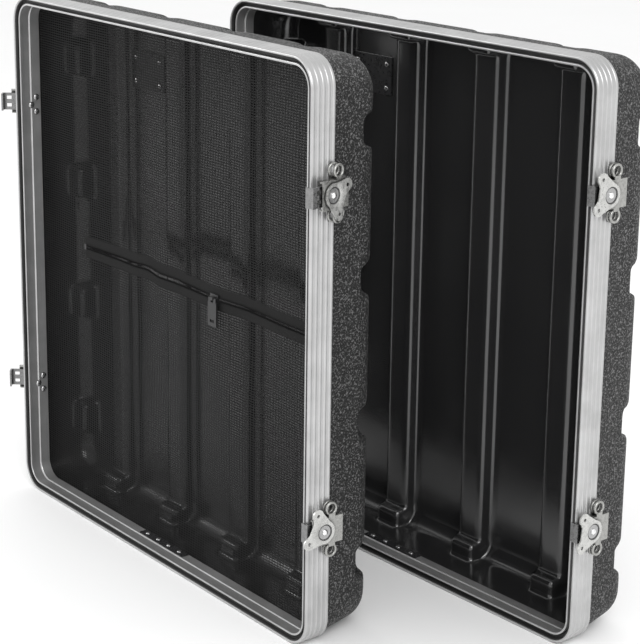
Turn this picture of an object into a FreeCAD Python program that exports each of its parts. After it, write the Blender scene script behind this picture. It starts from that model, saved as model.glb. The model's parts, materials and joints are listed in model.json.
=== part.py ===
"""Two lids of a 12U equipment rack case, standing upright with their open faces turned to -Y.

Frame of each lid: X across the lid, Z up from the surface it stands on, Y back into the lid from
the plane of the rim's inner lip. The front lid's frame is the part's frame. The rear lid stands
behind and to the right of it. Each latch is drawn once in its own frame, x outwards from the rim,
y towards the back of the lid and z up, with its origin on the rim's outer face at the stud.
"""

import FreeCAD, Part
import math
import os
import re

import Sketcher

from FreeCAD import Placement, Rotation, Vector

os.makedirs("parts", exist_ok=True)
doc = FreeCAD.newDocument("rack_case_lids")

SIZES = {
    # lid and rim
    "lid_width": 560, "lid_height": 600, "lid_depth": 88,
    "rim_section": 10, "rim_depth": 26, "rim_radius": 30, "lip_stand": 2.5,
    "outer_wall": 2.8, "inner_wall": 2.2, "inner_step": 0.8, "groove_depth": 11, "web": 3,
    "ridge_height": 0.6, "ridge_width": 3, "ridge_pitch": 6.1, "ridge_count": 5,
    "seal_height": 8,
    # moulded shell
    "wall": 4, "tongue_inset": 3, "back_inset": 6, "back_corner": 42, "back_round": 24,
    "groove_pitch": 121, "groove_floor": 25, "groove_mouth": 38, "groove_in": 14,
    "notch_pitch": 148.5, "notch_floor": 27, "notch_mouth": 40, "notch_in": 22, "notch_across": 28,
    "end_notch_in": 27, "end_notch_across": 24, "shoulder": 4,
    # plates and rivets
    "plate_x": -128, "plate_z": 524, "plate_width": 64, "plate_height": 43, "plate_thick": 1.5,
    "plate_inset": 8, "rivet_radius": 1.6, "head_radius": 3.2, "head_height": 1.8,
    "latch_head": 3.9,
    "splice_x": -10, "splice_length": 84, "splice_depth": 10, "splice_pitch": 21,
    # net and zip
    "net_thick": 1, "net_side_gap": 0.8, "zip_z": 319, "zip_left": -176,
    "zip_right": 268, "slider_x": 84, "tape_height": 10, "tape_thick": 1.6, "slit_half": 4,
    "teeth_gap": 0.3, "slit_run": 34, "slider_length": 14, "slider_height": 9, "slider_thick": 2,
    "pull_length": 30, "pull_width": 15, "pull_thick": 1.8, "pull_pin": 0.9, "pull_shoulder": 4,
    "lug_half": 2, "stop_length": 4,
    # twist latch
    "latch_y": 13, "latch_rise": 171, "base_thick": 1.5, "base_front": 8, "base_back": 22,
    "base_half": 13, "pin_y": 21.5, "pin_x": 4.4, "pin_radius": 1.5, "lug_radius": 2.1,
    "lug_inner": 9, "lug_outer": 12.6, "eye_y": 10, "eye_z": 22, "eye_ring": 6, "eye_wire": 1.4,
    "eye_tab": 4, "arm_low": 6.7, "arm_thick": 1.4, "arm_front": 14, "arm_back": 23.5,
    "arm_half": 14, "flange": 1.2, "flange_low": 3, "hook_low": 3.2, "hook_thick": 1.8,
    "hook_front": 18, "hook_back": 10, "hook_half": 10, "lip_reach": 4.5, "lip_thick": 2,
    "slot_front": 12.6, "slot_back": 6.6, "slot_in": 2.4, "slot_out": 6.6,
    "cam_offset": 3.5, "cam_radius": 4, "cam_low": 2.4, "cam_play": 1.5, "shaft_radius": 3,
    "running": 0.05, "wing_low": 8.5, "wing_thick": 1.6, "hub_radius": 12, "lobe_radius": 6.5,
    "lobe_reach": 21, "lobe_spread": 44, "lobe_hole": 1.8, "dish_radius": 8.6, "dish_depth": 0.9,
    "stud_radius": 3.4, "stud_rise": 1.6,
}

# the rear lid's place: its own origin in the part's frame, and its turn about Z
REAR_PLACE = Placement(Vector(156, 205, 0), Rotation(Vector(0, 0, 1), 2.2))
FRONT_PLACE = Placement()

# how each latch rests: side, height sign, arm swing, wing angle from straight back, hook out
LOCKED = 175
HOOK_TRAVEL = 7
WING_TRAVEL = 200
LATCH_REST = {
    "front": {
        "right_upper": (1, 1, 12, -23),
        "right_lower": (1, -1, 0, 158),
        "left_upper": (-1, 1, 38, -12),
        "left_lower": (-1, -1, 38, -12),
    },
    "rear": {
        "right_upper": (1, 1, 0, 171),
        "right_lower": (1, -1, 0, 175),
        "left_upper": (-1, 1, 0, 171),
        "left_lower": (-1, -1, 0, 175),
    },
}

SHEET_NAMES = {name: "Sizes." + name for name in SIZES}
nodes = {}


def cells(formula):
    """Point every size named in a formula at the sheet."""
    return re.sub("[a-z_]+", lambda word: SHEET_NAMES.get(word.group(0), word.group(0)),
                  str(formula))


def make_sheet():
    sheet = doc.addObject("Spreadsheet::Sheet", "Sizes")
    for row, (name, value) in enumerate(SIZES.items(), start=1):
        sheet.set("A%d" % row, name)
        sheet.set("B%d" % row, str(value))
        sheet.setAlias("B%d" % row, name)
    doc.recompute()


def bind(item, **formulas):
    """Tie properties to formulas of the sheet's sizes; X, Y and Z place the item."""
    for name, formula in formulas.items():
        prop = "Placement.Base." + name.lower() if name in ("X", "Y", "Z") else name
        item.setExpression(prop, cells(formula))
    return item


def box(x0, x1, y0, y1, z0, z1):
    """A block between two corners, each given as a formula."""
    item = doc.addObject("Part::Box", "Block")
    return bind(item, X=x0, Y=y0, Z=z0, Length="(%s) - (%s)" % (x1, x0),
                Width="(%s) - (%s)" % (y1, y0), Height="(%s) - (%s)" % (z1, z0))


AIM = {
    "x": Rotation(Vector(0, 0, 1), Vector(1, 0, 0)),
    "y": Rotation(Vector(0, 0, 1), Vector(0, 1, 0)),
    "z": Rotation(),
    "-x": Rotation(Vector(0, 0, 1), Vector(-1, 0, 0)),
    "-y": Rotation(Vector(0, 0, 1), Vector(0, -1, 0)),
}


def rod(axis, radius, start, length, x=0, y=0, z=0):
    """A cylinder along an axis; start is its lower end on that axis."""
    item = doc.addObject("Part::Cylinder", "Rod")
    item.Placement = Placement(Vector(), AIM[axis])
    place = {"x": x, "y": y, "z": z}
    place[axis] = start
    return bind(item, Radius=radius, Height=length, X=place["x"], Y=place["y"], Z=place["z"])


def head(aim, x, y, z, radius="head_radius", rise="head_height"):
    """A domed head: half an ellipsoid standing on its base point, rising along its aim."""
    item = doc.addObject("Part::Ellipsoid", "Head")
    item.Placement = Placement(Vector(), AIM[aim])
    item.Angle1 = 0
    return bind(item, Radius1=rise, Radius2=radius, Radius3=radius, X=x, Y=y, Z=z)


def wedge(low, high):
    """A tapered block: low and high are (y, x0, x1, z0, z1) formulas at its two ends."""
    item = doc.addObject("Part::Wedge", "Wedge")
    return bind(item, Ymin=low[0], Xmin=low[1], Xmax=low[2], Zmin=low[3], Zmax=low[4],
                Ymax=high[0], X2min=high[1], X2max=high[2], Z2min=high[3], Z2max=high[4])


def fuse(pieces):
    item = doc.addObject("Part::MultiFuse", "Joined")
    item.Shapes = pieces
    item.Refine = True
    return item


def group(pieces):
    item = doc.addObject("Part::Compound", "Group")
    item.Links = pieces
    return item


def cut(base, tools):
    item = doc.addObject("Part::Cut", "Trimmed")
    item.Base = base
    item.Tool = tools[0] if len(tools) == 1 else fuse(tools)
    item.Refine = True
    return item


def finish(item, label, place):
    """Name a finished sub-part and put it in its place."""
    if item.TypeId in ("Part::Box", "Part::Cylinder"):
        item = group([item])
    item.Label = label
    item.Placement = place
    nodes[label] = item


def span(centre, half):
    """The two ends of a length given by its centre and half, as formulas."""
    return "(%s) - (%s)" % (centre, half), "(%s) + (%s)" % (centre, half)


# ---------------------------------------------------------------- rounded rectangles and blocks

def origin_plane(body, role):
    return [item for item in body.Origin.OriginFeatures if item.Role == role][0]


def upright_sketch(body, depth):
    """A sketch in a plane across the lid at the given depth, centred on the lid."""
    sketch = body.newObject("Sketcher::SketchObject", "Outline")
    sketch.AttachmentSupport = [(origin_plane(body, "XZ_Plane"), "")]
    sketch.MapMode = "FlatFace"
    sketch.setExpression("AttachmentOffset.Base.y", cells("lid_height / 2"))
    sketch.setExpression("AttachmentOffset.Base.z", cells("-(%s)" % depth))
    return sketch


def rounded_rectangle(sketch, inset, radius):
    """The lid's outline, drawn in by an inset from its outer size, with rounded corners."""
    guess_x = SIZES["lid_width"] / 2
    guess_z = SIZES["lid_height"] / 2
    guess_r = SIZES["rim_radius"]
    corners = [(1, 1, 0), (-1, 1, 90), (-1, -1, 180), (1, -1, 270)]
    arcs = []
    for side_x, side_z, start in corners:
        centre = Vector(side_x * (guess_x - guess_r), side_z * (guess_z - guess_r), 0)
        circle = Part.Circle(centre, Vector(0, 0, 1), guess_r)
        first = math.radians(start)
        arcs.append(sketch.addGeometry(Part.ArcOfCircle(circle, first, first + math.pi / 2)))
    lines = []
    for index, arc in enumerate(arcs):
        start = sketch.Geometry[arc].EndPoint
        end = sketch.Geometry[arcs[(index + 1) % 4]].StartPoint
        lines.append(sketch.addGeometry(Part.LineSegment(start, end)))
    for index, line in enumerate(lines):
        sketch.addConstraint(Sketcher.Constraint("Tangent", arcs[index], 2, line, 1))
        sketch.addConstraint(Sketcher.Constraint("Tangent", line, 2, arcs[(index + 1) % 4], 1))
    for (side_x, side_z, _), arc in zip(corners, arcs):
        across = sketch.addConstraint(Sketcher.Constraint(
            "DistanceX", -1, 1, arc, 3, side_x * (guess_x - guess_r)))
        up = sketch.addConstraint(Sketcher.Constraint(
            "DistanceY", -1, 1, arc, 3, side_z * (guess_z - guess_r)))
        size = sketch.addConstraint(Sketcher.Constraint("Radius", arc, guess_r))
        sign_x = "" if side_x > 0 else "-"
        sign_z = "" if side_z > 0 else "-"
        sketch.setExpression("Constraints[%d]" % across, cells(
            "%s(lid_width / 2 - (%s) - (%s))" % (sign_x, inset, radius)))
        sketch.setExpression("Constraints[%d]" % up, cells(
            "%s(lid_height / 2 - (%s) - (%s))" % (sign_z, inset, radius)))
        sketch.setExpression("Constraints[%d]" % size, cells(radius))


def new_body():
    return doc.addObject("PartDesign::Body", "Body")


def pad_ring(body, start, end, outlines):
    """A pad from one depth to another between nested rounded outlines."""
    sketch = upright_sketch(body, start)
    for inset, radius in outlines:
        rounded_rectangle(sketch, inset, radius)
    pad = body.newObject("PartDesign::Pad", "Pad")
    pad.Profile = sketch
    pad.Reversed = True
    pad.setExpression("Length", cells("(%s) - (%s)" % (end, start)))
    doc.recompute()
    return pad


def tapered_block(inset, back):
    """The shell's block: a straight tongue, then a taper to a well rounded back."""
    body = new_body()
    tongue = "tongue_inset + %s" % inset
    behind = "back_inset + %s" % inset
    pad_ring(body, "groove_depth + web + 0.2", "rim_depth",
             [(tongue, "rim_radius - (%s)" % tongue)])
    front = upright_sketch(body, "rim_depth")
    rounded_rectangle(front, tongue, "rim_radius - (%s)" % tongue)
    rear = upright_sketch(body, back)
    rounded_rectangle(rear, behind, "back_corner - %s" % inset)
    loft = body.newObject("PartDesign::AdditiveLoft", "Taper")
    loft.Profile = front
    loft.Sections = [rear]
    loft.Ruled = True
    doc.recompute()
    depth = max(corner.Point.y for corner in loft.Shape.Vertexes)
    edges = ["Edge%d" % (index + 1) for index, edge in enumerate(loft.Shape.Edges)
             if all(abs(corner.Point.y - depth) < 0.01 for corner in edge.Vertexes)]
    rounding = body.newObject("PartDesign::Fillet", "BackRounding")
    rounding.Base = (loft, edges)
    rounding.setExpression("Radius", cells("back_round - %s" % inset))
    doc.recompute()
    return body


# ---------------------------------------------------------------- lid

STEPS = (-1.5, -0.5, 0.5, 1.5)
ZIP_FACE = "rim_depth + net_thick / 2 - tape_thick / 2"


def make_rim(label, place):
    """The valance extrusion: ridged outer wall, front groove, web and stepped inner wall."""
    body = new_body()
    face = ("ridge_height", "rim_radius - ridge_height")
    mid_outer = ("outer_wall / 2", "rim_radius - outer_wall / 2")
    mid_inner = ("rim_section - inner_wall / 2", "rim_radius - rim_section + inner_wall / 2")
    groove_side = ("rim_section - inner_wall", "rim_radius - rim_section + inner_wall")
    pad_ring(body, "-lip_stand", "rim_depth",
             [face, ("outer_wall", "rim_radius - outer_wall")])
    pad_ring(body, "groove_depth", "groove_depth + web", [mid_outer, mid_inner])
    pad_ring(body, "0", "groove_depth + web",
             [groove_side, ("rim_section", "rim_radius - rim_section")])
    pad_ring(body, "groove_depth", "rim_depth",
             [groove_side, ("rim_section - inner_step", "rim_radius - rim_section + inner_step")])
    ridge = pad_ring(body, "1 - lip_stand", "1 - lip_stand + ridge_width",
                     [("0", "rim_radius"), mid_outer])
    pattern = body.newObject("PartDesign::LinearPattern", "Ridges")
    pattern.Originals = [ridge]
    pattern.Direction = (origin_plane(body, "Y_Axis"), [""])
    pattern.setExpression("Length", cells("ridge_pitch * (ridge_count - 1)"))
    pattern.setExpression("Occurrences", cells("ridge_count"))
    body.Tip = pattern
    finish(body, label, place)


def make_seal(label, place):
    body = new_body()
    pad_ring(body, "groove_depth - seal_height", "groove_depth",
             [("outer_wall", "rim_radius - outer_wall"),
              ("rim_section - inner_wall", "rim_radius - rim_section + inner_wall")])
    finish(body, label, place)


def shell_cutters(grow):
    """Grooves down the back and notches round its edge, grown by a wall for the inside."""
    past = "lid_depth + shoulder"
    floor = "groove_floor / 2 + " + grow
    mouth = "groove_mouth / 2 + " + grow
    side_reach = "lid_width / 2 - notch_across - " + grow
    end_reach = "lid_height / 2 - end_notch_across - " + grow
    cutters = []
    for step in STEPS:
        x = "%g * groove_pitch" % step
        ends = ("-shoulder", "lid_height + shoulder")
        cutters.append(wedge(("lid_depth - groove_in - " + grow, *span(x, floor), *ends),
                             (past, *span(x, mouth), *ends)))
        z = "lid_height / 2 + %g * notch_pitch" % step
        low = span(z, "notch_floor / 2 + " + grow)
        high = span(z, "notch_mouth / 2 + " + grow)
        for side in (-1, 1):
            outer = "%d * (lid_width / 2 + shoulder)" % side
            near = sorted_pair(side, "%d * (%s)" % (side, side_reach), outer)
            wide = sorted_pair(side, "%d * (%s - shoulder)" % (side, side_reach), outer)
            cutters.append(wedge(("lid_depth - notch_in - " + grow, *near, *low),
                                 (past, *wide, *high)))
            outer = "lid_height / 2 + %d * (lid_height / 2 + shoulder)" % side
            near = sorted_pair(side, "lid_height / 2 + %d * (%s)" % (side, end_reach), outer)
            wide = sorted_pair(
                side, "lid_height / 2 + %d * (%s - shoulder)" % (side, end_reach), outer)
            cutters.append(wedge(
                ("lid_depth - end_notch_in - " + grow, *span(x, floor), *near),
                (past, *span(x, mouth), *wide)))
    return cutters


def sorted_pair(side, inner, outer):
    """The lower formula first, on either side of the lid's middle."""
    return (inner, outer) if side > 0 else (outer, inner)


def make_shell(label, place):
    outside = cut(tapered_block("0", "lid_depth"), shell_cutters("0"))
    inside = cut(tapered_block("wall", "lid_depth - wall"), shell_cutters("wall"))
    finish(cut(outside, [inside]), label, place)


def make_plates(lid, place):
    """The blank badge on the back, the dark plate inside it, and the rivets through both."""
    across = span("plate_x", "plate_width / 2")
    up = span("plate_z", "plate_height / 2")
    inside = "lid_depth - wall - plate_thick"
    outside = "lid_depth + plate_thick"
    finish(box(*across, "lid_depth", outside, *up), lid + "_badge_plate", place)
    finish(box(*across, inside, "lid_depth - wall", *up), lid + "_backing_plate", place)
    rivets = []
    for side_x in (-1, 1):
        for side_z in (-1, 1):
            x = "plate_x + %d * (plate_width / 2 - plate_inset)" % side_x
            z = "plate_z + %d * (plate_height / 2 - plate_inset)" % side_z
            rivets.append(fuse([
                rod("y", "rivet_radius", inside, "wall + 2 * plate_thick", x=x, z=z),
                head("y", x, outside, z),
                head("-y", x, inside, z)]))
    finish(group(rivets), lid + "_plate_rivets", place)


def make_splice(lid, place):
    """The plate that joins the extrusion's two ends inside the bottom of the rim."""
    floor = "rim_section - inner_step"
    front = "groove_depth + web + 1.5"
    finish(box(*span("splice_x", "splice_length / 2"), front, front + " + splice_depth",
               floor, floor + " + plate_thick"), lid + "_splice_plate", place)
    rivets = []
    for step in STEPS:
        x = "splice_x + %g * splice_pitch" % step
        y = front + " + splice_depth / 2"
        start = "rim_section - inner_wall"
        rivets.append(fuse([
            rod("z", "rivet_radius", start, "inner_wall - inner_step + plate_thick", x=x, y=y),
            head("z", x, y, floor + " + plate_thick")]))
    finish(group(rivets), lid + "_splice_rivets", place)


# ---------------------------------------------------------------- twist latches

def latch_place(lid_place, side, height_sign):
    """Where a latch's own frame stands: the left side is the right side turned over about Y."""
    out = side * (SIZES["lid_width"] / 2 - SIZES["ridge_height"])
    height = SIZES["lid_height"] / 2 + height_sign * SIZES["latch_rise"]
    turn = Rotation(Vector(0, 1, 0), 0 if side > 0 else 180)
    return lid_place.multiply(Placement(Vector(out, SIZES["latch_y"], height), turn))


def swung(place, swing):
    """The arm's frame: the latch's frame swung about the hinge pin."""
    pin = Vector(SIZES["pin_x"], SIZES["pin_y"], 0)
    return place.multiply(Placement(Vector(), Rotation(Vector(0, 0, 1), swing), pin))


def eyes(centre_x, tab_low, tab_high, root):
    """Two padlock eyes, above and below, each a wire ring on a short tab."""
    pieces = []
    for side in (-1, 1):
        ring = doc.addObject("Part::Torus", "Eye")
        ring.Placement = Placement(Vector(), AIM["x"])
        bind(ring, Radius1="eye_ring", Radius2="eye_wire", X=centre_x, Y="eye_y",
             Z="%d * eye_z" % side)
        tab = sorted_pair(side, "%d * (%s - 1)" % (side, root),
                          "%d * (eye_z - eye_ring + eye_wire)" % side)
        pieces += [ring, box(tab_low, tab_high, *span("eye_y", "eye_tab"), *tab)]
    return pieces


def make_latch_base(label, place):
    top = "ridge_height + base_thick"
    pieces = eyes(top + " + 0.2", "ridge_height", top, "base_half")
    pieces.append(box("ridge_height", top, "-base_front", "base_back", "-base_half", "base_half"))
    for side in (-1, 1):
        start = "lug_inner" if side > 0 else "-lug_outer"
        ends = sorted_pair(side, "%d * lug_inner" % side, "%d * lug_outer" % side)
        pieces.append(rod("z", "lug_radius", start, "lug_outer - lug_inner", x="pin_x", y="pin_y"))
        pieces.append(box("ridge_height", "pin_x", *span("pin_y", "lug_radius - 0.4"), *ends))
    hole = rod("z", "pin_radius", "-lug_outer - 1", "2 * lug_outer + 2", x="pin_x", y="pin_y")
    finish(cut(fuse(pieces), [hole]), label, place)


def make_latch_arm(label, place):
    high = "arm_low + arm_thick"
    pieces = eyes("arm_low - 0.2", "arm_low", high, "arm_half")
    pieces.append(box("arm_low", high, "-arm_front", "arm_back", "-arm_half", "arm_half"))
    for side in (-1, 1):
        edge = sorted_pair(side, "%d * (arm_half - flange)" % side, "%d * arm_half" % side)
        pieces.append(box("flange_low", "arm_low", "1 - arm_front", "pin_y - 4", *edge))
    pieces.append(rod("z", "lug_radius", "running - lug_inner", "2 * (lug_inner - running)",
                      x="pin_x", y="pin_y"))
    pieces.append(box("pin_x", "arm_low", *span("pin_y", "lug_radius - 0.4"),
                      "running - lug_inner", "lug_inner - running"))
    pin_hole = rod("z", "pin_radius + running", "-arm_half - 1", "2 * arm_half + 2",
                   x="pin_x", y="pin_y")
    shaft_hole = rod("x", "shaft_radius + running", "arm_low - 1", "arm_thick + 2")
    finish(cut(fuse(pieces), [pin_hole, shaft_hole]), label, place)


def make_latch_hook(label, place):
    """The sliding hook strip: a lip over the rim, two slots and the cam's window."""
    high = "hook_low + hook_thick"
    pieces = [box("hook_low", high, "-hook_front", "hook_back", "-hook_half", "hook_half"),
              box("-lip_reach", high, "-hook_front", "lip_thick - hook_front",
                  "-hook_half", "hook_half")]
    window = box("hook_low - 1", high + " + 1", *span("cam_offset", "cam_radius + cam_play"),
                 *span("0", "cam_offset + cam_radius + 0.5"))
    cuts = [window]
    for side in (-1, 1):
        ends = sorted_pair(side, "%d * slot_in" % side, "%d * slot_out" % side)
        cuts.append(box("hook_low - 1", high + " + 1", "-slot_front", "-slot_back", *ends))
    finish(cut(fuse(pieces), cuts), label, place)


def make_latch_wing(label, place, angle):
    """The butterfly wing with its domed stud, its shaft through the arm and the cam below it."""
    spread = SIZES["lobe_spread"]
    pieces = [rod("x", "hub_radius", "wing_low", "wing_thick")]
    holes = []
    for side in (-1, 1):
        lobe = Placement(Vector(), Rotation(Vector(1, 0, 0), side * spread))
        end = rod("x", "lobe_radius", "wing_low", "wing_thick", y="lobe_reach")
        bar = wedge(("0", "wing_low", "wing_low + wing_thick", *span("0", "hub_radius - 0.4")),
                    ("lobe_reach", "wing_low", "wing_low + wing_thick",
                     *span("0", "lobe_radius - 0.2")))
        hole = rod("x", "lobe_hole", "wing_low - 1", "wing_thick + 2", y="lobe_reach")
        turned = group([fuse([end, bar])])
        turned.Placement = lobe
        pieces.append(turned)
        drilled = group([hole])
        drilled.Placement = lobe
        holes.append(drilled)
    half = "lobe_reach * sin(lobe_spread * 1deg)"
    pieces.append(wedge(("0", "wing_low", "wing_low + wing_thick", *span("0", "1")),
                        ("lobe_reach * cos(lobe_spread * 1deg) + 2", "wing_low",
                         "wing_low + wing_thick", *span("0", half))))
    top = "wing_low + wing_thick"
    dish = rod("x", "dish_radius", top + " - dish_depth", "dish_depth + 1")
    plate = cut(fuse(pieces), holes + [dish])
    stud = head("x", top + " - dish_depth", 0, 0, "stud_radius", "stud_rise + dish_depth")
    shaft = rod("x", "shaft_radius", "arm_low - 0.5", "wing_low - arm_low + 1")
    cam = rod("x", "cam_radius", "cam_low", "arm_low - cam_low - running",
              y="cam_offset * cos(%g deg)" % LOCKED, z="-cam_offset * sin(%g deg)" % LOCKED)
    wing = fuse([plate, stud, shaft, cam])
    finish(wing, label, place.multiply(Placement(Vector(), Rotation(Vector(1, 0, 0), angle))))


def make_latches(lid, lid_place):
    pins = []
    rivets = []
    for name, (side, height_sign, swing, angle) in LATCH_REST[lid].items():
        label = "%s_latch_%s_" % (lid, name)
        place = latch_place(lid_place, side, height_sign)
        arm_place = swung(place, swing)
        out = HOOK_TRAVEL * (LOCKED - angle) / WING_TRAVEL
        hook_place = arm_place.multiply(Placement(Vector(0, -out, 0), Rotation()))
        make_latch_base(label + "base", place)
        make_latch_arm(label + "arm", arm_place)
        make_latch_hook(label + "hook", hook_place)
        make_latch_wing(label + "wing", arm_place, angle)
        local = lid_place.inverse().multiply(place)
        pin = group([rod("z", "pin_radius", "-lug_outer - 0.6", "2 * lug_outer + 1.2",
                         x="pin_x", y="pin_y")])
        pin.Placement = local
        pins.append(pin)
        for y, z, step in ((0, 0, "0"), (7, 8.5, "inner_step"), (7, -8.5, "inner_step")):
            tail = "ridge_height + %s - rim_section" % step
            shank = rod("x", "rivet_radius", tail, "rim_section - %s + base_thick" % step,
                        y=y, z=z)
            rivet = group([fuse([shank, head("-x", tail, y, z, "latch_head")])])
            rivet.Placement = local
            rivets.append(rivet)
    finish(group(pins), lid + "_hinge_pins", lid_place)
    finish(group(rivets), lid + "_latch_rivets", lid_place)


# ---------------------------------------------------------------- net and zip

def net_sheet(low, high):
    """A rounded sheet behind the rim between two heights, let out around the zip."""
    body = new_body()
    inset = "tongue_inset + wall + net_side_gap"
    pad_ring(body, "rim_depth", "rim_depth + net_thick",
             [(inset, "rim_radius - (%s)" % inset)])
    sheet = doc.addObject("Part::Common", "Sheet")
    sheet.Base = body
    sheet.Tool = box("-lid_width", "lid_width", "0", "lid_depth", low, high)
    return cut(sheet, [box("zip_left", "zip_right", "0", "lid_depth",
                           *span("zip_z", "tape_height"))])


def zip_tape(side):
    """One half of the zip: shut beyond the slider, drawn apart from there to its left end."""
    stations = [("zip_left", "teeth_gap"), ("zip_left + slit_run", "slit_half"),
                ("slider_x - slit_run", "slit_half"), ("slider_x", "teeth_gap"),
                ("zip_right", "teeth_gap")]
    pieces = []
    for (x0, gap0), (x1, gap1) in zip(stations, stations[1:]):
        near = sorted_pair(side, "%d * %s" % (side, gap0), "%d * tape_height" % side)
        far = sorted_pair(side, "%d * %s" % (side, gap1), "%d * tape_height" % side)
        piece = wedge((x0, "-tape_thick", "0", *near), (x1, "-tape_thick", "0", *far))
        piece.Placement = Placement(Vector(), Rotation(Vector(0, 0, 1), -90))
        pieces.append(bind(piece, Y=ZIP_FACE, Z="zip_z"))
    return fuse(pieces)


def make_net(lid, place):
    finish(net_sheet("zip_z", "lid_height"), lid + "_upper_net", place)
    finish(net_sheet("0", "zip_z"), lid + "_lower_net", place)
    finish(zip_tape(1), lid + "_upper_zip_tape", place)
    finish(zip_tape(-1), lid + "_lower_zip_tape", place)


def make_zip_pieces(place):
    """The slider with its lug, the pull hinged on it, and the stops at the zip's two ends."""
    body_front = ZIP_FACE + " - slider_thick"
    pivot = body_front + " - pull_thick"
    slider = fuse([
        box(*span("slider_x", "slider_length / 2"), body_front, ZIP_FACE + " - running",
            *span("zip_z", "slider_height / 2")),
        box(*span("slider_x", "lug_half"), pivot + " - pull_pin - 0.8", body_front + " + 1",
            *span("zip_z", "pull_pin + 0.8"))])
    bore = rod("x", "pull_pin", "slider_x - slider_length", "2 * slider_length",
               y=pivot, z="zip_z")
    finish(cut(slider, [bore]), "zip_slider", place)
    pieces = [rod("x", "pull_pin - running", "slider_x - pull_width / 2 + 1", "pull_width - 2",
                  y=pivot, z="zip_z"),
              box(*span("slider_x", "pull_width / 2"), *span(pivot, "pull_thick / 2"),
                  "zip_z - pull_length", "zip_z - pull_shoulder")]
    for side in (-1, 1):
        inner = "slider_x + %d * (lug_half + 0.3)" % side
        outer = "slider_x + %d * (pull_width / 2 - 1)" % side
        pieces.append(box(*sorted_pair(side, inner, outer), *span(pivot, "pull_thick / 2"),
                          "zip_z - pull_shoulder - 1", "zip_z + 1"))
    slot = box(*span("slider_x", "pull_width / 4"), pivot + " - pull_thick",
               body_front, "zip_z - pull_length + 4", "zip_z - pull_length + 7")
    finish(cut(fuse(pieces), [slot]), "zip_pull", place)
    stops = [box(x, x + " + stop_length", ZIP_FACE + " - 1.4", ZIP_FACE, *span("zip_z", "3"))
             for x in ("zip_left", "zip_right - stop_length")]
    finish(group(stops), "zip_stops", place)


# ---------------------------------------------------------------- the two lids

def build():
    make_sheet()
    for lid, place in (("front", FRONT_PLACE), ("rear", REAR_PLACE)):
        make_rim(lid + "_rim", place)
        make_seal(lid + "_rim_seal", place)
        make_shell(lid + "_shell", place)
        make_plates(lid, place)
        make_splice(lid, place)
        make_latches(lid, place)
    make_net("front", FRONT_PLACE)
    make_zip_pieces(FRONT_PLACE)
    doc.recompute()


def check_and_export():
    faults = [item.Name for item in doc.Objects
              if "Invalid" in item.State or "Error" in item.State]
    if faults:
        raise RuntimeError("features in error: " + ", ".join(faults))
    for label, item in nodes.items():
        if item.Shape.isNull() or not item.Shape.isValid():
            raise RuntimeError(label + " is empty or not valid")
        item.Shape.exportStep("parts/%s.step" % label)
        print(label, round(item.Shape.Volume, 1), len(item.Shape.Solids))


build()
check_and_export()
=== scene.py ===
"""Two lids of an equipment rack case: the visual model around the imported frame.

Lengths are metres. Each lid has its own frame, as in the CAD: x across, z up, y into the lid from
the plane of the rim's inner lip. Profiles and small features are given in millimetres (MM).
"""

import json
import math

import bmesh
import bpy
import numpy as np
from mathutils import Matrix, Vector


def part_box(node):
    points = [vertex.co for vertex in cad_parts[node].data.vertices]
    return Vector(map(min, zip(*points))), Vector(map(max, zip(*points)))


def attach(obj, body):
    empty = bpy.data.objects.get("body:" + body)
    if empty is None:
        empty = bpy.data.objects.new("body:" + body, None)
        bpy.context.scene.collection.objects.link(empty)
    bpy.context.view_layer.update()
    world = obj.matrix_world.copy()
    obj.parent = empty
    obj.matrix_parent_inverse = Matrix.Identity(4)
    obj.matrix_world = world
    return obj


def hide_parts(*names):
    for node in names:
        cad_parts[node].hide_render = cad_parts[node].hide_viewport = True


MM = 0.001
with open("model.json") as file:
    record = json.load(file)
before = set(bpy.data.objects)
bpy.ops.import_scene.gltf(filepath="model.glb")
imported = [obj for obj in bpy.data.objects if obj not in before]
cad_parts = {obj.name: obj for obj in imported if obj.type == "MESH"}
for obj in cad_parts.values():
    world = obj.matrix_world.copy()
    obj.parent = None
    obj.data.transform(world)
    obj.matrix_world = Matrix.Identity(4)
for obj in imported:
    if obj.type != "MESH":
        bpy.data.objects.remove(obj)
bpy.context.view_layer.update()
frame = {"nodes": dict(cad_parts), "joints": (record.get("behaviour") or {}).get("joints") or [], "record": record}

MOUNTS = {mount["name"]: mount for mount in frame["record"]["mounts"]}


def lid_matrix(rest, mouth):
    """A lid's own frame, from the mounts at its foot and its mouth."""
    axis = MOUNTS[mouth]["axis"]
    turn = Matrix.Rotation(math.atan2(axis[0], -axis[1]), 4, "Z")
    return Matrix.Translation(Vector(MOUNTS[rest]["pos_m"])) @ turn


LIDS = {
    "front": lid_matrix("floor_rest", "front_rim_mouth"),
    "rear": lid_matrix("rear_floor_rest", "rear_rim_mouth"),
}
rim_low, rim_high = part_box("front_rim")
WIDTH = rim_high[0] - rim_low[0]
HEIGHT = rim_high[2] - rim_low[2]
RIM_RADIUS = 30 * MM
ZIP_Z = 319 * MM
ZIP_LEFT = -176 * MM
ZIP_RIGHT = 268 * MM
NET_Y = 26.5 * MM


# ---------------------------------------------------------------- materials

def new_material(name, color, roughness, metallic=0.0, **inputs):
    """A Principled material and its node tree's helper."""
    material = bpy.data.materials.new(name)
    material.use_nodes = True
    shader = material.node_tree.nodes["Principled BSDF"]
    shader.inputs["Base Color"].default_value = (*color, 1)
    shader.inputs["Roughness"].default_value = roughness
    shader.inputs["Metallic"].default_value = metallic
    for key, value in inputs.items():
        shader.inputs[key.replace("_", " ")].default_value = value
    return material


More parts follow.
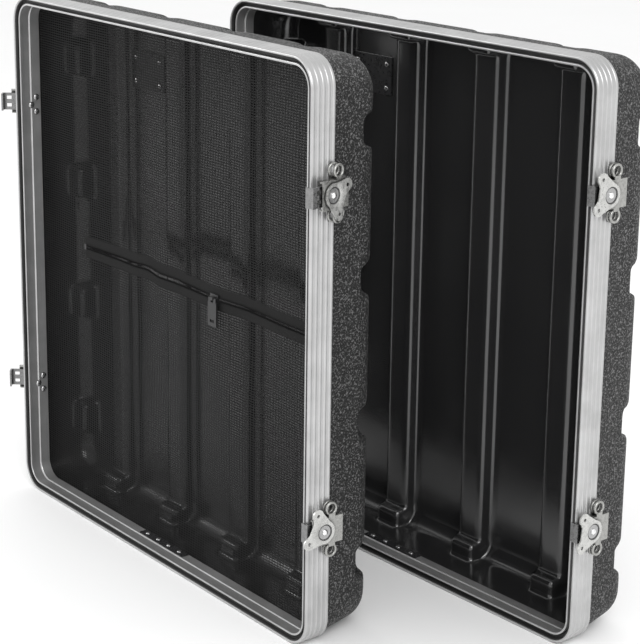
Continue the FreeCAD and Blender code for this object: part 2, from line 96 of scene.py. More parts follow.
def node(material, kind, links=None, **values):
    """Adds a node; links maps its inputs to (node, output), values set inputs or properties."""
    item = material.node_tree.nodes.new(kind)
    for key, value in values.items():
        name = key.replace("_", " ")
        if name in item.inputs:
            item.inputs[name].default_value = value
        else:
            setattr(item, key, value)
    for key, (source, output) in (links or {}).items():
        material.node_tree.links.new(source.outputs[output], item.inputs[key])
    return item


def join(material, source, output, key):
    """Links a node's output to the material's shader."""
    shader = material.node_tree.nodes["Principled BSDF"]
    material.node_tree.links.new(source.outputs[output], shader.inputs[key])


def ramp(material, source, output, stops):
    """A colour ramp of grey levels, as (position, level) pairs."""
    item = node(material, "ShaderNodeValToRGB", {"Fac": (source, output)})
    elements = item.color_ramp.elements
    while len(elements) < len(stops):
        elements.new(0.5)
    for element, (position, level) in zip(elements, stops):
        element.position = position
        element.color = (level, level, level, 1)
    return item


def bump(material, source, output, strength, distance, below=None):
    """Raises the surface by a node's output, on top of the bump below."""
    links = {"Height": (source, output)}
    if below:
        links["Normal"] = (below, "Normal")
    item = node(material, "ShaderNodeBump", links, Strength=strength, Distance=distance)
    join(material, item, "Normal", "Normal")
    return item


def position(material):
    """Where the shading is: the object's own coordinates."""
    return node(material, "ShaderNodeTexCoord")


# the grain's worms and its fine roughness: noise scales and depths
WORM_SCALE, WORM_DEPTH = 520.0, 3 * MM
FINE_SCALE, FINE_DEPTH = 1100.0, 0.3 * MM


def make_shell_outside():
    """Coarse leather-like grain moulded in black plastic, its raised tops painted paler as painted highlights."""
    material = new_material("shell_grain", (0.03, 0.03, 0.031), 0.45)
    place = position(material)
    worms = node(material, "ShaderNodeTexNoise", {"Vector": (place, "Object")}, Scale=WORM_SCALE,
                 Detail=2.0, Roughness=0.55, Distortion=0.5)
    first = bump(material, worms, "Fac", 1.0, WORM_DEPTH)
    fine = node(material, "ShaderNodeTexNoise", {"Vector": (place, "Object")}, Scale=FINE_SCALE,
                Detail=3.0)
    bump(material, fine, "Fac", 0.4, FINE_DEPTH, first)
    # painted highlight: the raised tops of the grain are painted paler than its hollows
    level = ramp(material, worms, "Fac", [(0.45, 0.002), (0.54, 0.008), (0.62, 0.13)])
    join(material, level, "Color", "Base Color")
    rough = ramp(material, worms, "Fac", [(0.35, 0.7), (0.65, 0.4)])
    join(material, rough, "Color", "Roughness")
    return material


# the gloss's slow waves and its orange peel
WAVE_SCALE, WAVE_DEPTH = 9.0, 3 * MM
PEEL_SCALE, PEEL_DEPTH = 420.0, 0.3 * MM


def make_shell_inside():
    """Black plastic with the gloss of a polished mould, slightly wavy."""
    material = new_material("shell_gloss", (0.018, 0.018, 0.0185), 0.16, Specular_IOR_Level=1.0)
    place = position(material)
    soft = node(material, "ShaderNodeTexNoise", {"Vector": (place, "Object")}, Scale=WAVE_SCALE,
                Detail=2.0)
    first = bump(material, soft, "Fac", 0.5, WAVE_DEPTH)
    peel = node(material, "ShaderNodeTexNoise", {"Vector": (place, "Object")}, Scale=PEEL_SCALE,
                Detail=2.0)
    bump(material, peel, "Fac", 0.12, PEEL_DEPTH, first)
    rough = ramp(material, soft, "Fac", [(0.3, 0.12), (0.7, 0.26)])
    join(material, rough, "Color", "Roughness")
    return material


DRAWN_SCALE = (4.0, 5200.0, 0.0)    # of the drawn lines: along the rim, round its section
DRAWN_DEPTH = 0.05 * MM
CLOUD_SCALE = 35.0


def make_rim_metal():
    """Satin aluminium with fine lines drawn along the extrusion and faint clouds."""
    material = new_material("rim_aluminium", (0.48, 0.48, 0.48), 0.33, 0.72)
    along = node(material, "ShaderNodeAttribute", attribute_name="sweep")
    scale = node(material, "ShaderNodeVectorMath", {0: (along, "Vector")}, operation="MULTIPLY")
    scale.inputs[1].default_value = DRAWN_SCALE
    lines = node(material, "ShaderNodeTexNoise", {"Vector": (scale, "Vector")}, Scale=1.0,
                 Detail=3.0)
    place = position(material)
    cloud = node(material, "ShaderNodeTexNoise", {"Vector": (place, "Object")}, Scale=CLOUD_SCALE,
                 Detail=4.0)
    rough = ramp(material, lines, "Fac", [(0.3, 0.27), (0.7, 0.42)])
    join(material, rough, "Color", "Roughness")
    level = ramp(material, cloud, "Fac", [(0.3, 0.41), (0.65, 0.5)])
    join(material, level, "Color", "Base Color")
    bump(material, lines, "Fac", 0.25, DRAWN_DEPTH)
    return material


ROUGHNESS_SPREAD = 0.1
ROUGHNESS_LEAST = 0.02
PAINTED_SHADE_REACH = 4 * MM    # how far the painted shade reaches out of a corner


def make_plain(name, color, roughness, metallic, scale, depth, painted_shade_power=0.0, **inputs):
    """A finish with fine mottling in its roughness, colour and surface, and painted shade darkening its crevices.
    """
    material = new_material(name, color, roughness, metallic, **inputs)
    place = position(material)
    speck = node(material, "ShaderNodeTexNoise", {"Vector": (place, "Object")}, Scale=scale,
                 Detail=4.0)
    rough = node(material, "ShaderNodeMapRange", {"Value": (speck, "Fac")},
                 From_Min=0.3, From_Max=0.7)
    rough.inputs["To Min"].default_value = max(ROUGHNESS_LEAST, roughness - ROUGHNESS_SPREAD)
    rough.inputs["To Max"].default_value = roughness + ROUGHNESS_SPREAD
    join(material, rough, "Result", "Roughness")
    tint = node(material, "ShaderNodeMix", {"Factor": (speck, "Fac")}, data_type="RGBA")
    tint.inputs[6].default_value = (*[channel * 0.8 for channel in color], 1)
    tint.inputs[7].default_value = (*[min(1, channel * 1.15) for channel in color], 1)
    # painted shade: ambient occlusion darkens the colour in crevices and next to nearby parts
    if painted_shade_power:
        corner = node(material, "ShaderNodeAmbientOcclusion", {"Color": (tint, 2)},
                      Distance=PAINTED_SHADE_REACH, samples=6)
        shaded_color = node(material, "ShaderNodeGamma", {"Color": (corner, "Color")}, Gamma=painted_shade_power)
        join(material, shaded_color, "Color", "Base Color")
    else:
        join(material, tint, 2, "Base Color")
    bump(material, speck, "Fac", 0.3, depth)
    return material


WEAVE_SCALE, WEAVE_DEPTH = 420.0, 0.3 * MM


def make_tape_cloth():
    """Woven zip tape: fine threads crossing."""
    material = new_material("zip_tape_weave", (0.02, 0.02, 0.02), 0.75, Specular_IOR_Level=0.15)
    place = position(material)
    waves = []
    for axis in ("X", "Z"):
        waves.append(node(material, "ShaderNodeTexWave", {"Vector": (place, "Object")},
                          Scale=WEAVE_SCALE, bands_direction=axis, Distortion=0.6))
    weave = node(material, "ShaderNodeMath", {0: (waves[0], "Fac"), 1: (waves[1], "Fac")},
                 operation="MULTIPLY")
    bump(material, weave, "Value", 0.7, WEAVE_DEPTH)
    level = ramp(material, weave, "Value", [(0.0, 0.006), (1.0, 0.022)])
    join(material, level, "Color", "Base Color")
    return material


OUTSIDE = make_shell_outside()
INSIDE = make_shell_inside()
RIM = make_rim_metal()
# the latch metals and rivets below get painted shade darkening their crevices
ZINC = make_plain("latch_zinc", (0.66, 0.66, 0.65), 0.32, 0.75, 300.0, 0.05 * MM, painted_shade_power=2.4)
# painted shade: the hooks take a darker copy of the latch zinc
SHADED_HOOK_ZINC = make_plain("hook_zinc_painted_shade", (0.56, 0.56, 0.56), 0.3, 0.85, 300.0, 0.05 * MM, painted_shade_power=2.4)
NICKEL = make_plain("wing_nickel", (0.74, 0.74, 0.73), 0.3, 0.7, 240.0, 0.03 * MM, painted_shade_power=2.0)
STUD = make_plain("stud_nickel", (0.85, 0.85, 0.85), 0.2, 1.0, 240.0, 0.03 * MM)
# painted shade: the dish's floor is darker than the wing, as the shade of its recess
DISH = make_plain("dish_painted_shade", (0.4, 0.4, 0.4), 0.34, 0.8, 400.0, 0.05 * MM)
RING_SHADOW = make_plain("dish_shadow", (0.02, 0.02, 0.02), 0.5, 0.0, 600.0, 0.05 * MM)
PLATE = make_plain("badge_metal", (0.6, 0.6, 0.6), 0.4, 1.0, 500.0, 0.05 * MM)
DARK_PLATE = make_plain("backing_black", (0.02, 0.02, 0.021), 0.3, 0.0, 260.0, 0.1 * MM)
RIVET = make_plain("rivet_aluminium", (0.75, 0.75, 0.75), 0.25, 0.95, 600.0, 0.05 * MM, painted_shade_power=2.5)
RUBBER = make_plain("seal_rubber", (0.012, 0.012, 0.012), 0.6, 0.0, 900.0, 0.1 * MM)
THREAD = make_plain("net_thread", (0.008, 0.008, 0.008), 0.7, 0.0, 1500.0, 0.1 * MM,
                    Specular_IOR_Level=0.15)
TAPE = make_tape_cloth()
COIL = make_plain("zip_nylon", (0.006, 0.006, 0.006), 0.5, 0.0, 900.0, 0.05 * MM,
                  Specular_IOR_Level=0.12)
ZIP_METAL = make_plain("zip_black", (0.016, 0.016, 0.0165), 0.35, 0.0, 700.0, 0.08 * MM,
                       Specular_IOR_Level=0.35)


# ---------------------------------------------------------------- mesh helpers

def add_object(name, mesh, matrix, materials, body, slot, *nodes):
    """Puts a piece in the scene, in its lid's place, riding on its body."""
    mesh.transform(matrix)
    mesh.update()
    piece = bpy.data.objects.new(name, mesh)
    bpy.context.scene.collection.objects.link(piece)
    for material in materials:
        mesh.materials.append(material)
    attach(piece, body)
    if nodes:
        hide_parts(*nodes)
    return piece


def mesh_from(name, points, faces):
    """A mesh of points and faces, without any faulty ones."""
    mesh = bpy.data.meshes.new(name)
    mesh.from_pydata(points, [], faces)
    mesh.validate()
    return mesh


def smooth(mesh, angle):
    """Shades a mesh smooth, but for its edges sharper than an angle in degrees."""
    mesh.polygons.foreach_set("use_smooth", [True] * len(mesh.polygons))
    mesh.set_sharp_from_angle(angle=math.radians(angle))


CORNER_STEPS = 14
STRAIGHT_STEPS = 12
RIDGE_ANGLE = 30


def ring_stations():
    """Points and outward directions round the lid's outline: the place is point + r * way."""
    centre_x = WIDTH / 2 - RIM_RADIUS
    centre_z = HEIGHT / 2 - RIM_RADIUS
    corners = [(1, 1, 0), (-1, 1, 90), (-1, -1, 180), (1, -1, 270)]
    stations = []
    for index, (side_x, side_z, start) in enumerate(corners):
        centre = Vector((side_x * centre_x, 0, HEIGHT / 2 + side_z * centre_z))
        for step in range(CORNER_STEPS + 1):
            angle = math.radians(start + 90 * step / CORNER_STEPS)
            stations.append((centre, Vector((math.cos(angle), 0, math.sin(angle)))))
        way = stations[-1][1]
        after = corners[(index + 1) % 4]
        following = Vector((after[0] * centre_x, 0, HEIGHT / 2 + after[1] * centre_z))
        for step in range(1, STRAIGHT_STEPS):
            stations.append((centre.lerp(following, step / STRAIGHT_STEPS), way))
    return stations


def ring_sweep(name, profile):
    """A closed profile of (inset, depth) in mm carried round the lid's outline."""
    stations = ring_stations()
    count = len(profile)
    points = []
    sweep = []
    travelled = 0.0
    previous = None
    around = [0.0]
    for (a, b), (c, d) in zip(profile, profile[1:]):
        around.append(around[-1] + math.hypot(c - a, d - b) * MM)
    for centre, way in stations:
        middle = centre + way * RIM_RADIUS
        travelled += (middle - previous).length if previous else 0.0
        previous = middle
        for (inset, depth), place in zip(profile, around):
            point = centre + way * (RIM_RADIUS - inset * MM)
            points.append((point.x, depth * MM, point.z))
            sweep.append((travelled, place, 0.0))
    faces = []
    for station in range(len(stations)):
        first = station * count
        second = (station + 1) % len(stations) * count
        for index in range(count):
            after = (index + 1) % count
            faces.append((first + index, first + after, second + after, second + index))
    mesh = mesh_from(name, points, faces)
    attribute = mesh.attributes.new("sweep", "FLOAT_VECTOR", "POINT")
    attribute.data.foreach_set("vector", np.array(sweep, dtype=np.float32).ravel())
    work = bmesh.new()
    work.from_mesh(mesh)
    bmesh.ops.recalc_face_normals(work, faces=work.faces)
    work.to_mesh(mesh)
    work.free()
    smooth(mesh, RIDGE_ANGLE)
    return mesh


# ---------------------------------------------------------------- rim and seal

RIDGES = 5
FIRST_RIDGE, RIDGE_PITCH = -1.5, 6.1    # depths in mm


def rim_profile():
    """The extrusion's section: the ridges outside, the groove in front, the stepped wall."""
    outer = [(2.8, -1.9), (2.5, -2.4), (2.0, -2.5), (1.3, -2.5), (0.8, -2.35)]
    for index in range(RIDGES):
        start = FIRST_RIDGE + RIDGE_PITCH * index
        outer += [(0.6, start - 0.35), (0.22, start), (0.03, start + 0.5), (0, start + 1.4),
                  (0.03, start + 2.2), (0.22, start + 2.7), (0.6, start + 2.95)]
    outer += [(0.75, 25.93), (1.2, 26), (2.4, 26), (2.8, 25.7)]
    inner = [(2.8, 14), (7.8, 14), (7.8, 25.7), (8.1, 26), (8.9, 26), (9.2, 25.7), (9.2, 14.6),
             (9.5, 14.2), (10.3, 14.0), (10.5, 13.6), (10.4, 13.1), (9.9, 12.5), (9.6, 12.0),
             (9.6, 1.6), (9.75, 1.3), (10, 1.1), (10, 0.5), (9.85, 0.12), (9.5, 0), (8.4, 0),
             (7.95, 0.12), (7.8, 0.5), (7.8, 11), (2.8, 11)]
    return outer + inner


def seal_profile():
    """The gasket's section: a pad in the groove with a thin lip up the outer wall."""
    return [(2.85, 10.95), (2.85, -0.9), (3.1, -1.3), (3.6, -1.3), (3.9, -0.8), (4.0, 2.7),
            (4.5, 3.05), (5.6, 3.0), (6.6, 3.1), (7.3, 3.5), (7.75, 4.4), (7.75, 10.95)]


# ---------------------------------------------------------------- moulded shell

VOXEL = 2.5 * MM
SKIN_FRONT = 17 * MM    # where the moulding starts, behind the rim's step
SAME_POINT = 1e-6
SAME_DEPTH = 1e-5
RELAX_ROUNDS = 5
RELAX, SWELL, SWELL_EVERY = 0.6, -0.3, 3


def islands(work):
    """Groups of faces that share points."""
    left = set(work.faces)
    groups = []
    while left:
        queue = [left.pop()]
        group = set(queue)
        while queue:
            for edge in queue.pop().edges:
                for face in edge.link_faces:
                    if face in left:
                        left.remove(face)
                        group.add(face)
                        queue.append(face)
        groups.append(group)
    return groups


def remeshed(mesh):
    """A voxel copy of a closed mesh with its edges relaxed."""
    piece = bpy.data.objects.new("work", mesh)
    bpy.context.scene.collection.objects.link(piece)
    modifier = piece.modifiers.new("voxels", "REMESH")
    modifier.mode = "VOXEL"
    modifier.voxel_size = VOXEL
    evaluated = piece.evaluated_get(bpy.context.evaluated_depsgraph_get())
    result = bpy.data.meshes.new_from_object(evaluated)
    bpy.data.objects.remove(piece)
    count = len(result.vertices)
    points = np.empty(count * 3, dtype=np.float32)
    result.vertices.foreach_get("co", points)
    points = points.reshape(-1, 3).astype(np.float64)
    edges = np.empty(len(result.edges) * 2, dtype=np.int32)
    result.edges.foreach_get("vertices", edges)
    a, b = edges.reshape(-1, 2).T
    valence = np.bincount(np.concatenate([a, b]), minlength=count)[:, None]
    for turn in range(RELAX_ROUNDS):
        for factor in (RELAX, SWELL if turn % SWELL_EVERY else 0.0):
            total = np.zeros_like(points)
            np.add.at(total, a, points[b])
            np.add.at(total, b, points[a])
            points += factor * (total / valence - points)
    result.vertices.foreach_set("co", points.astype(np.float32).ravel())
    return result


def shell_skins():
    """The CAD shell's outer and inner skins as two closed meshes in the lid's own frame."""
    source = bmesh.new()
    source.from_mesh(frame["nodes"]["front_shell"].data)
    bmesh.ops.transform(source, matrix=LIDS["front"].inverted(), verts=source.verts)
    bmesh.ops.remove_doubles(source, verts=source.verts, dist=SAME_POINT)
    front = min(vertex.co.y for vertex in source.verts)
    brim = [face for face in source.faces
            if all(abs(vertex.co.y - front) < SAME_DEPTH for vertex in face.verts)]
    bmesh.ops.delete(source, geom=brim, context="FACES_ONLY")
    skins = []
    for group in islands(source):
        index = {}
        points, faces = [], []
        for face in group:
            for vertex in face.verts:
                if vertex not in index:
                    index[vertex] = len(points)
                    points.append(vertex.co[:])
            faces.append([index[vertex] for vertex in face.verts])
        part = bmesh.new()
        mesh = mesh_from("skin", points, faces)
        part.from_mesh(mesh)
        bpy.data.meshes.remove(mesh)
        rim_edges = [edge for edge in part.edges if edge.is_boundary]
        bmesh.ops.triangle_fill(part, edges=rim_edges, use_beauty=True)
        bmesh.ops.recalc_face_normals(part, faces=part.faces)
        size = max(vertex.co.x for vertex in part.verts)
        closed = bpy.data.meshes.new("skin")
        part.to_mesh(closed)
        part.free()
        skins.append((size, closed))
    source.free()
    skins.sort(key=lambda item: -item[0])
    return [mesh for _, mesh in skins]


def make_shell_mesh():
    """Both skins from the front lid's CAD shell; the rear lid's shell is the same."""
    outer, inner = [remeshed(mesh) for mesh in shell_skins()]
    work = bmesh.new()
    for level, mesh in enumerate((outer, inner)):
        part = bmesh.new()
        part.from_mesh(mesh)
        everything = part.verts[:] + part.edges[:] + part.faces[:]
        bmesh.ops.bisect_plane(part, geom=everything, plane_co=(0, SKIN_FRONT, 0),
                               plane_no=(0, -1, 0), clear_outer=True)
        for face in part.faces:
            face.material_index = level
            face.smooth = True
            if level:
                face.normal_flip()
        joined = bpy.data.meshes.new("skin")
        part.to_mesh(joined)
        part.free()
        work.from_mesh(joined)
        bpy.data.meshes.remove(joined)
    open_edges = [edge for edge in work.edges if edge.is_boundary]
    bmesh.ops.triangle_fill(work, edges=open_edges, use_beauty=True, normal=(0, -1, 0))
    bmesh.ops.recalc_face_normals(work, faces=work.faces)
    mesh = bpy.data.meshes.new("shell")
    work.to_mesh(mesh)
    work.free()
    return mesh


# ---------------------------------------------------------------- net and zip

def within(x, low, high, fade):
    """1 between two ends, fading to 0 at them."""
    return max(0.0, min(1.0, (x - low) / fade)) * max(0.0, min(1.0, (high - x) / fade))


# the zip's line, open to the left of the slider: place, rise of its middle, half its opening (mm)
SLIT = [(-176, 0, 0.1), (-140, 0.6, 0.3), (-78, 1.6, 0.5), (-46, 3.6, 0.6), (-20, 0.2, 0.8),
        (8, 0.6, 0.8), (30, 0.2, 0.4), (84, 0, 0.1), (140, 1.2, 0), (200, 0.4, 0), (268, 0, 0)]


def slit_at(x):
    """The slit's rise and half opening at a place along it, eased between its points."""
    for (x0, *first), (x1, *last) in zip(SLIT, SLIT[1:]):
        if x0 * MM <= x <= x1 * MM:
            part = (x / MM - x0) / (x1 - x0)
            ease = part * part * (3 - 2 * part)
            return [(a + (b - a) * ease) * MM for a, b in zip(first, last)]
    return 0.0, 0.0


# where the cloth is free to wave, and how fast the waves fade to the rim
WAVE_HALF = 268 * MM
WAVE_LOW, WAVE_HIGH = 12 * MM, 588 * MM
WAVE_FADE = 40 * MM
# waves of the net away from the zip: height in mm, turns across and up per metre, start
SWAYS = [(1.4, 31, 9, 0), (1.1, 11, -26, 2)]
PUCKER, PUCKER_TURN, PUCKER_START = 0.8, 47, 0.8
GAPE_BACK = 0.6     # how far the upper tape goes back for each mm of the slit's half opening
TAPE_HALF = 11 * MM
ZIP_REACH = 34 * MM


def settled(x, z, side):
    """Where a point of the flat net or tape goes: the slit gapes and the cloth hangs in waves.

    Along the zip the waves only go back from the slider's track, so that it can run clear.
    """
    edge = (within(x, -WAVE_HALF, WAVE_HALF, WAVE_FADE)
            * within(z, WAVE_LOW, WAVE_HIGH, WAVE_FADE))
    away = max(0.0, abs(z - ZIP_Z) - TAPE_HALF)
    hold = math.exp(-(away / ZIP_REACH) ** 2)
    rise, gape = slit_at(x)
    sway = (1 - hold) * sum(height * math.sin(x * across + z * up + start)
                            for height, across, up, start in SWAYS)
    pucker = hold * (PUCKER * (1 + math.sin(x * PUCKER_TURN + PUCKER_START))
                     + GAPE_BACK * (1 + side) * gape / MM)
    return x, NET_Y + MM * edge * (sway + pucker), z + hold * (rise + side * gape)


COLUMN_PITCH = 4.6 * MM
ROW_PITCH = 2.8 * MM
THREAD_WIDTH = 1.28 * MM
THREAD_STEP = 9 * MM
LAYER_GAP = 0.15 * MM
TAPE_COVER = 9 * MM
NET_RADIUS = 22 * MM
NET_INSET = 7.8 * MM
NET_HALF = WIDTH / 2 - NET_INSET
NET_TALL = HEIGHT / 2 - NET_INSET


def rounded_reach(place, across, along):
    """How far a rounded outline reaches at a place: across and along are its half sizes."""
    past = abs(place) - (along - NET_RADIUS)
    if past <= 0:
        return across
    return across - NET_RADIUS + math.sqrt(max(0.0, NET_RADIUS ** 2 - past ** 2))


def net_threads(side):
    """The runs of thread above (side 1) or below (side -1) the zip: ends as (x, z) pairs."""
    upright, level = [], []
    count = int(NET_HALF / COLUMN_PITCH)
    for column in range(-count, count + 1):
        x = column * COLUMN_PITCH
        near = ZIP_Z + side * (TAPE_COVER if ZIP_LEFT < x < ZIP_RIGHT else 0)
        far = HEIGHT / 2 + side * rounded_reach(x, NET_TALL, NET_HALF)
        upright.append(((x, near), (x, far)))
    row = 0.5 * ROW_PITCH
    while abs(ZIP_Z + side * row - HEIGHT / 2) < NET_TALL:
        z = ZIP_Z + side * row
        reach = rounded_reach(z - HEIGHT / 2, NET_HALF, NET_TALL)
        if row < TAPE_COVER:
            level += [((-reach, z), (ZIP_LEFT, z)), ((ZIP_RIGHT, z), (reach, z))]
        else:
            level.append(((-reach, z), (reach, z)))
        row += ROW_PITCH
    return upright, level


def make_net_mesh(side):
    """Two layers of flat threads crossing each other."""
    points, faces = [], []
    for layer, threads in enumerate(net_threads(side)):
        aside = (THREAD_WIDTH / 2, 0) if layer == 0 else (0, THREAD_WIDTH / 2)
        back = LAYER_GAP * layer
        for (x0, z0), (x1, z1) in threads:
            steps = max(1, round(math.hypot(x1 - x0, z1 - z0) / THREAD_STEP))
            for step in range(steps + 1):
                x = x0 + (x1 - x0) * step / steps
                z = z0 + (z1 - z0) * step / steps
                for way in (-1, 1):
                    place = settled(x + way * aside[0], z + way * aside[1], side)
                    points.append((place[0], place[1] + back, place[2]))
                if step:
                    last = len(points) - 1
                    faces.append((last - 3, last - 2, last, last - 1))
    return mesh_from("net", points, faces)


# a tape's section: away from the zip's middle and behind the net, in mm
TAPE_SECTION = [(1.0, -0.9), (1.6, -1.3), (2.6, -1.3), (3.2, -0.75), (7.5, -0.65), (11.5, -0.6),
                (11.8, -0.35), (11.5, -0.1), (3.2, -0.15), (1.6, -0.1), (1.0, -0.5)]
TAPE_STEPS = 150
TAPE_ANGLE = 50


def make_tape_mesh(side):
    """A zip tape with its folded edge, lying just in front of the net."""
    points, faces = [], []
    for step in range(TAPE_STEPS + 1):
        x = ZIP_LEFT + (ZIP_RIGHT - ZIP_LEFT) * step / TAPE_STEPS
        for out, forward in TAPE_SECTION:
            place = settled(x, ZIP_Z + side * out * MM, side)
            points.append((place[0], place[1] + forward * MM, place[2]))
    count = len(TAPE_SECTION)
    for step in range(TAPE_STEPS):
        for item in range(count):
            after = (item + 1) % count
            faces.append((step * count + item, step * count + after,
                          (step + 1) * count + after, (step + 1) * count + item))
    faces.append(tuple(range(count)))
    faces.append(tuple(reversed(range(TAPE_STEPS * count, (TAPE_STEPS + 1) * count))))
    mesh = mesh_from("tape", points, faces)
    work = bmesh.new()
    work.from_mesh(mesh)
    bmesh.ops.recalc_face_normals(work, faces=work.faces)
    work.to_mesh(mesh)
    work.free()
    smooth(mesh, TAPE_ANGLE)
    return mesh


TUBE_GUIDE = Vector((0.3, 1, 0.2))    # a direction that no tube runs along


def tube(path, radius, sides):
    """Points and faces of a tube with closed ends along a path."""
    points, faces = [], []
    for step, point in enumerate(path):
        ahead = path[min(step + 1, len(path) - 1)] - path[max(step - 1, 0)]
        across = ahead.cross(TUBE_GUIDE).normalized()
        other = ahead.cross(across).normalized()
        for side in range(sides):
            angle = 2 * math.pi * side / sides
            points.append(tuple(point + radius * (math.cos(angle) * across
                                                  + math.sin(angle) * other)))
    for step in range(len(path) - 1):
        for side in range(sides):
            after = (side + 1) % sides
            here = step * sides
            faces.append((here + side, here + after, here + sides + after, here + sides + side))
    faces.append(tuple(reversed(range(sides))))
    faces.append(tuple(range((len(path) - 1) * sides, len(path) * sides)))
    return points, faces


COIL_PITCH = 2.2 * MM
COIL_POINTS = 6     # along each turn
COIL_MIDDLE = 1.4 * MM
COIL_REACH = 1.1 * MM
COIL_FORWARD = 1.5 * MM
COIL_DEPTH = 0.5 * MM
COIL_THICK = 0.45 * MM
COIL_SIDES = 5
COIL_ANGLE = 60


def make_coil_mesh(side):
    """The row of coil teeth along a tape's edge."""
    turns = int((ZIP_RIGHT - ZIP_LEFT) / COIL_PITCH)
    path = []
    for step in range(turns * COIL_POINTS):
        angle = 2 * math.pi * step / COIL_POINTS
        x = ZIP_LEFT + COIL_PITCH * step / COIL_POINTS + (COIL_PITCH / 2 if side > 0 else 0)
        place = settled(x, ZIP_Z + side * (COIL_MIDDLE + COIL_REACH * math.cos(angle)), side)
        depth = place[1] - COIL_FORWARD + COIL_DEPTH * math.sin(angle)
        path.append(Vector((place[0], depth, place[2])))
    mesh = mesh_from("coil", *tube(path, COIL_THICK, COIL_SIDES))
    smooth(mesh, COIL_ANGLE)
    return mesh


# ---------------------------------------------------------------- latch wings

# levels above the rim's outer face
STUD_TOP = 11.7 * MM
DISH_FLOOR = 9.2 * MM
LEVEL_GAP = 0.05 * MM

DISH_RADIUS = 8.6 * MM
WALL_GAP = 0.1 * MM
# section of the ring pressed in the dish: inset from the dish's wall and rise from its floor, mm
PRESSED_RING = [(1.5, -0.2), (1.4, 0.15), (0.5, 0.2), (0.05, -0.2)]
RING_STEPS = 40
WING_ANGLE = 35
SOFT_EDGE = 0.3 * MM
SOFT_ANGLE = 40


def soften(piece):
    """Rounds the sharp edges of a pressed or cast piece."""
    edge = piece.modifiers.new("edges", "BEVEL")
    edge.width = SOFT_EDGE
    edge.segments = 2
    edge.limit_method = "ANGLE"
    edge.angle_limit = math.radians(SOFT_ANGLE)


def make_wing(joint):
    """A butterfly wing: the plate in satin nickel, its dish painted darker as the shade of its recess, with a
    pressed ring in it painted near black as its shadow.
    """
    node_name = joint["child"]
    axis = Vector(joint["axis"]).normalized()
    middle = Vector(joint["pos_m"])
    work = bmesh.new()
    work.from_mesh(frame["nodes"][node_name].data)
    bmesh.ops.remove_doubles(work, verts=work.verts, dist=SAME_POINT)
    base = max((vertex.co - middle).dot(axis) for vertex in work.verts) - STUD_TOP
    for face in work.faces:
        offset = face.calc_center_median() - middle
        height = offset.dot(axis) - base
        radius = (offset - axis * offset.dot(axis)).length
        face.material_index = 0
        # the dish's floor takes the painted shade; the stud rising from it keeps its own finish
        if height > DISH_FLOOR - LEVEL_GAP and radius < DISH_RADIUS - WALL_GAP:
            face.material_index = 1 if abs(height - DISH_FLOOR) < LEVEL_GAP else 2
    across = axis.cross(Vector((0, 0, 1))).normalized()
    upward = axis.cross(across)
    section = [(DISH_RADIUS - inset * MM, DISH_FLOOR + rise * MM) for inset, rise in PRESSED_RING]
    rings = []
    for step in range(RING_STEPS):
        angle = 2 * math.pi * step / RING_STEPS
        way = math.cos(angle) * across + math.sin(angle) * upward
        rings.append([work.verts.new(middle + way * radius + axis * (base + height))
                      for radius, height in section])
    for first, second in zip(rings, rings[1:] + rings[:1]):
        for index in range(len(section)):
            after = (index + 1) % len(section)
            face = work.faces.new((first[index], first[after], second[after], second[index]))
            # painted shadow: the pressed ring is near black, as the shade at the dish's wall
            face.material_index = 3
    mesh = bpy.data.meshes.new(node_name)
    work.to_mesh(mesh)
    work.free()
    piece = add_object(node_name.replace("_wing", "_butterfly"), mesh, Matrix(),
                       [NICKEL, DISH, STUD, RING_SHADOW], node_name, "latch", node_name)
    smooth(mesh, WING_ANGLE)
    soften(piece)


# ---------------------------------------------------------------- building

for lid, matrix in LIDS.items():
    body = lid + "_lid"
    add_object(lid + "_rim_extrusion", ring_sweep("rim", rim_profile()), matrix, [RIM], body,
               "rim", lid + "_rim")
    add_object(lid + "_gasket", ring_sweep("seal", seal_profile()), matrix, [RUBBER], body,
               "seal", lid + "_rim_seal")
shell = make_shell_mesh()
for lid, matrix in LIDS.items():
    add_object(lid + "_moulding", shell.copy(), matrix, [OUTSIDE, INSIDE], lid + "_lid", "shell",
               lid + "_shell")
bpy.data.meshes.remove(shell)

for side, name in ((1, "upper"), (-1, "lower")):
    net = add_object(name + "_mesh_net", make_net_mesh(side), LIDS["front"], [THREAD],
                     "front_lid", "net", "front_%s_net" % name)
    add_object(name + "_tape", make_tape_mesh(side), LIDS["front"], [TAPE], "front_lid",
               "zip_tape", "front_%s_zip_tape" % name)
    add_object(name + "_coil", make_coil_mesh(side), LIDS["front"], [COIL], "front_lid",
               "zip_tape")

for joint in frame["joints"]:
    if joint["name"].endswith("wing_turn"):
        make_wing(joint)

# finishes of the CAD nodes that are kept, by the ends of their names
FINISHES = {
    "base": ZINC, "arm": ZINC, "pins": ZINC, "hook": SHADED_HOOK_ZINC,
    "badge_plate": PLATE, "backing_plate": DARK_PLATE, "splice_plate": DARK_PLATE,
    "rivets": RIVET, "stops": ZIP_METAL, "slider": ZIP_METAL, "pull": ZIP_METAL,
}
for name, item in frame["nodes"].items():
    finish = next((value for key, value in FINISHES.items() if name.endswith(key)), None)
    if finish:
        for material_slot in item.material_slots:
            material_slot.material = finish
        soften(item)


# ---------------------------------------------------------------- floor, light and camera

FLOOR_HALF = 6.0
FLOOR_SCALE = 3.0
LIT_PLACE = (0.1, 0.1, 0.3)     # the lids' middle, which both lamps face


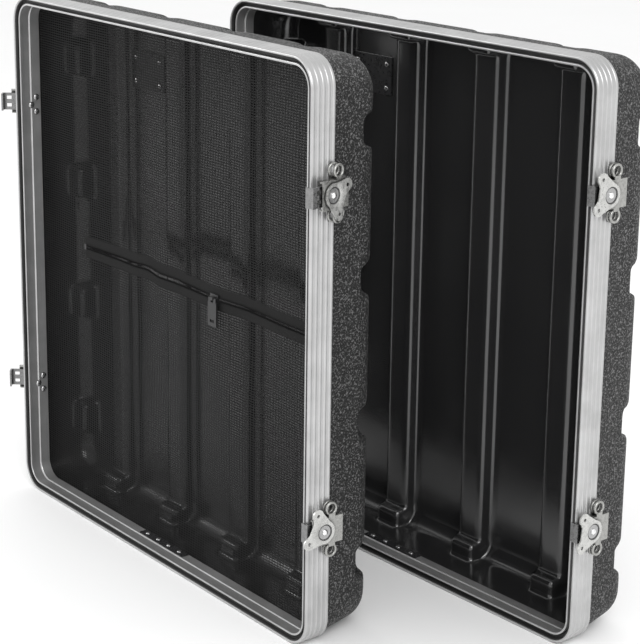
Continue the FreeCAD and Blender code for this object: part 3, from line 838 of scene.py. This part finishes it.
def add_floor():
    corners = [(-FLOOR_HALF, -FLOOR_HALF, 0), (FLOOR_HALF, -FLOOR_HALF, 0),
               (FLOOR_HALF, FLOOR_HALF, 0), (-FLOOR_HALF, FLOOR_HALF, 0)]
    mesh = mesh_from("floor", corners, [(0, 1, 2, 3)])
    floor = bpy.data.objects.new("floor", mesh)
    bpy.context.scene.collection.objects.link(floor)
    material = new_material("floor_white", (0.93, 0.93, 0.93), 0.7)
    place = position(material)
    cloud = node(material, "ShaderNodeTexNoise", {"Vector": (place, "Object")},
                 Scale=FLOOR_SCALE)
    level = ramp(material, cloud, "Fac", [(0.0, 0.92), (1.0, 0.95)])
    join(material, level, "Color", "Base Color")
    mesh.materials.append(material)


def add_light(name, place, size, power):
    data = bpy.data.lights.new(name, "AREA")
    data.shape = "RECTANGLE"
    data.size, data.size_y = size
    data.energy = power
    lamp = bpy.data.objects.new(name, data)
    bpy.context.scene.collection.objects.link(lamp)
    lamp.location = place
    facing = Vector(LIT_PLACE) - Vector(place)
    lamp.rotation_euler = facing.to_track_quat("-Z", "Y").to_euler()


def add_world():
    world = bpy.data.worlds.new("studio")
    bpy.context.scene.world = world
    world.use_nodes = True
    background = world.node_tree.nodes["Background"]
    background.inputs["Color"].default_value = (1, 1, 1, 1)
    background.inputs["Strength"].default_value = 1.0


CAMERA_PLACE = (1.64562, -1.07314, 0.88042)
CAMERA_YAW, CAMERA_PITCH, CAMERA_ROLL = 0.9169972, -0.2605648, -0.0090770
CAMERA_LENS = 106.12
CAMERA_SENSOR = 36
CAMERA_SHIFT = (0.0466, -0.1118)


def add_camera():
    """Long lens from the front right, a little above the lids' top."""
    turn = (Matrix.Rotation(CAMERA_YAW, 3, "Z") @ Matrix.Rotation(CAMERA_PITCH, 3, "X")
            @ Matrix.Rotation(CAMERA_ROLL, 3, "Y"))
    right, forward, up = turn.col[0], turn.col[1], turn.col[2]
    data = bpy.data.cameras.new("camera")
    data.sensor_width = CAMERA_SENSOR
    data.lens = CAMERA_LENS
    data.shift_x, data.shift_y = CAMERA_SHIFT
    camera = bpy.data.objects.new("camera", data)
    bpy.context.scene.collection.objects.link(camera)
    basis = Matrix((right, up, -forward)).transposed().to_4x4()
    camera.matrix_world = Matrix.Translation(CAMERA_PLACE) @ basis
    bpy.context.scene.camera = camera


add_floor()
add_world()
add_light("key", (2.2, -0.6, 2.0), (1.6, 1.6), 40)
add_light("left", (-1.8, -1.6, 1.4), (0.8, 1.6), 20)
add_camera()
bpy.context.scene.view_settings.view_transform = "Standard"
